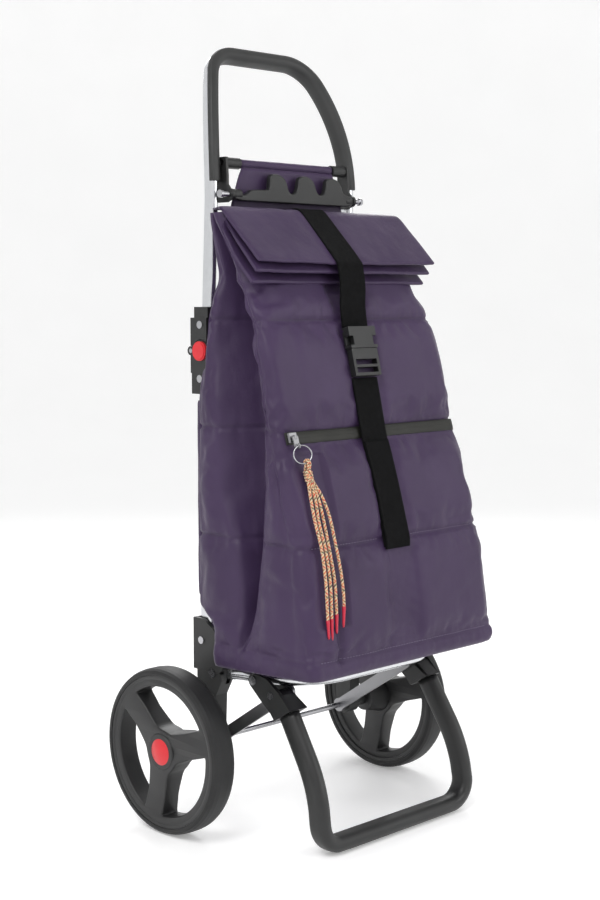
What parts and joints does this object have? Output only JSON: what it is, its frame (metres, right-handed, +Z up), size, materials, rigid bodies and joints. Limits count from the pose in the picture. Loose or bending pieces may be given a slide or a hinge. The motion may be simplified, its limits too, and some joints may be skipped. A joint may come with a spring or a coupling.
{
  "type": "folding shopping trolley",
  "caption": "Two-wheeled shopping trolley with a quilted roll-top bag, a folding tube handle with a hook bar, a folding bag platform and a tubular foot loop",
  "frame": {"origin": "bottom centre of the bounding box, on the floor", "axes": "+X to the right seen from the front, -Y out of the bag's front, +Z up"},
  "size_m": [0.453, 0.342, 1.02],
  "materials": {
    "tube": "satin anodised tube",
    "steel": "zinc plated and nickel plated steel",
    "red": "moulded red",
    "quilt": "woven nylon over wadding",
    "webbing": "ribbed webbing",
    "tread": "smooth solid tyre",
    "pad": "matt rubber strip",
    "braid": "braided cotton",
    "cord_tip": "dipped ends",
    "grip": "soft moulded grip",
    "board": "stiff sheet",
    "plastic": "fine texture moulding"
  },
  "bodies": {
    "frame": {"lower_upright_left": "tube", "lower_upright_right": "tube", "hinge_base_left": "plastic", "hinge_base_right": "plastic", "side_guard_left": "plastic", "side_guard_right": "plastic", "wheel_arm_left": "plastic", "wheel_arm_right": "plastic", "axle": "steel", "axle_spacers": "plastic", "axle_clips": "steel", "frame_rivets": "steel", "hinge_pins": "steel", "bag_shell": "quilt", "roll_top": "quilt", "upright_sleeves": "quilt", "strap_upper": "webbing", "strap_lower": "webbing"},
    "handle": {"handle_tube": "tube", "handle_grip": "grip", "hinge_fork_left": "plastic", "hinge_fork_right": "plastic", "panel_rod": "steel", "rod_bracket_left": "plastic", "rod_bracket_right": "plastic", "back_panel": "quilt", "hook_pins": "plastic", "fork_rivets": "steel"},
    "hooks": {"hook_bar": "plastic"},
    "button_left": {"release_button_left": "red"},
    "button_right": {"release_button_right": "red"},
    "platform": {"platform_hoop": "tube", "base_board": "board"},
    "foot": {"foot_loop": "plastic", "foot_bracket_left": "plastic", "foot_bracket_right": "plastic", "foot_rivets": "steel", "foot_pad": "pad"},
    "brace_left": {"link_left": "steel"},
    "brace_right": {"link_right": "steel"},
    "road_wheel_left": {"wheel_left": "plastic", "tyre_left": "tread", "wheel_bush_left": "plastic", "hub_cap_left": "red"},
    "road_wheel_right": {"wheel_right": "plastic", "tyre_right": "tread", "wheel_bush_right": "plastic", "hub_cap_right": "red"},
    "buckle_female": {"buckle_socket": "plastic"},
    "buckle_male": {"buckle_tongue": "plastic"},
    "zip_band": {"zipper_tape": "webbing"},
    "zip_runner": {"zip_slider": "steel"},
    "tassel": {"zip_pull": "steel", "key_ring": "steel", "tassel_knot": "braid", "tassel_ends": "cord_tip", "tassel_cord_1": "braid", "tassel_cord_2": "braid", "tassel_cord_3": "braid", "tassel_cord_4": "braid"}
  },
  "joints": [
    {"name": "wheel_left_spin", "type": "hinge", "parent": "frame", "child": "road_wheel_left", "pos_m": [-0.206, 0.063, 0.108], "axis": [1, 0, 0], "continuous": true},
    {"name": "wheel_right_spin", "type": "hinge", "parent": "frame", "child": "road_wheel_right", "pos_m": [0.206, 0.063, 0.108], "axis": [1, 0, 0], "continuous": true},
    {"name": "handle_fold", "type": "hinge", "parent": "frame", "child": "handle", "pos_m": [0, 0.093, 0.621], "axis": [-1, 0, 0], "range_deg": [0, 170]},
    {"name": "hook_tilt", "type": "hinge", "parent": "handle", "child": "hooks", "pos_m": [0, 0.044, 0.822], "axis": [1, 0, 0], "range_deg": [0, 60]},
    {"name": "button_left_press", "type": "slide", "parent": "frame", "child": "button_left", "axis": [1, 0, 0], "range_m": [0, 0.004], "stiffness_N_per_m": 600, "springref_m": -0.002},
    {"name": "button_right_press", "type": "slide", "parent": "frame", "child": "button_right", "axis": [-1, 0, 0], "range_m": [0, 0.004], "stiffness_N_per_m": 600, "springref_m": -0.002},
    {"name": "platform_fold", "type": "hinge", "parent": "frame", "child": "platform", "pos_m": [0, 0.055, 0.198], "axis": [-1, 0, 0], "range_deg": [0, 74], "deforming": ["bag_shell", "roll_top", "upright_sleeves", "strap_upper", "strap_lower"]},
    {"name": "foot_fold", "type": "hinge", "parent": "platform", "child": "foot", "pos_m": [0, -0.031, 0.205], "axis": [1, 0, 0], "range_deg": [0, 106]},
    {"name": "brace_left_swing", "type": "hinge", "parent": "frame", "child": "brace_left", "pos_m": [-0.112, 0.063, 0.108], "axis": [-1, 0, 0], "range_deg": [0, 41]},
    {"name": "brace_right_swing", "type": "hinge", "parent": "frame", "child": "brace_right", "pos_m": [0.112, 0.063, 0.108], "axis": [-1, 0, 0], "range_deg": [0, 41]},
    {"name": "buckle_follow", "type": "slide", "parent": "frame", "child": "buckle_female", "axis": [0, 1, 0], "range_m": [0, 0.121]},
    {"name": "buckle_release", "type": "slide", "parent": "buckle_female", "child": "buckle_male", "axis": [0, -0.2487, -0.9686], "range_m": [0, 0.02]},
    {"name": "zip_follow", "type": "slide", "parent": "frame", "child": "zip_band", "axis": [0, 1, 0], "range_m": [0, 0.145]},
    {"name": "zip_run", "type": "slide", "parent": "zip_band", "child": "zip_runner", "axis": [1, 0, 0], "range_m": [0, 0.105]},
    {"name": "pull_swing", "type": "hinge", "parent": "zip_runner", "child": "tassel", "pos_m": [-0.15, -0.11004, 0.52141], "axis": [-1, 0, 0], "range_deg": [0, 60]}
  ],
  "couplings": [
    {"joint": "foot_fold", "follows": "platform_fold", "ratio": 1.413},
    {"joint": "brace_left_swing", "follows": "platform_fold", "ratio": 0.539},
    {"joint": "brace_right_swing", "follows": "platform_fold", "ratio": 0.539},
    {"joint": "buckle_follow", "follows": "platform_fold", "m_per_rad": 0.0925},
    {"joint": "zip_follow", "follows": "platform_fold", "m_per_rad": 0.1107}
  ]
}
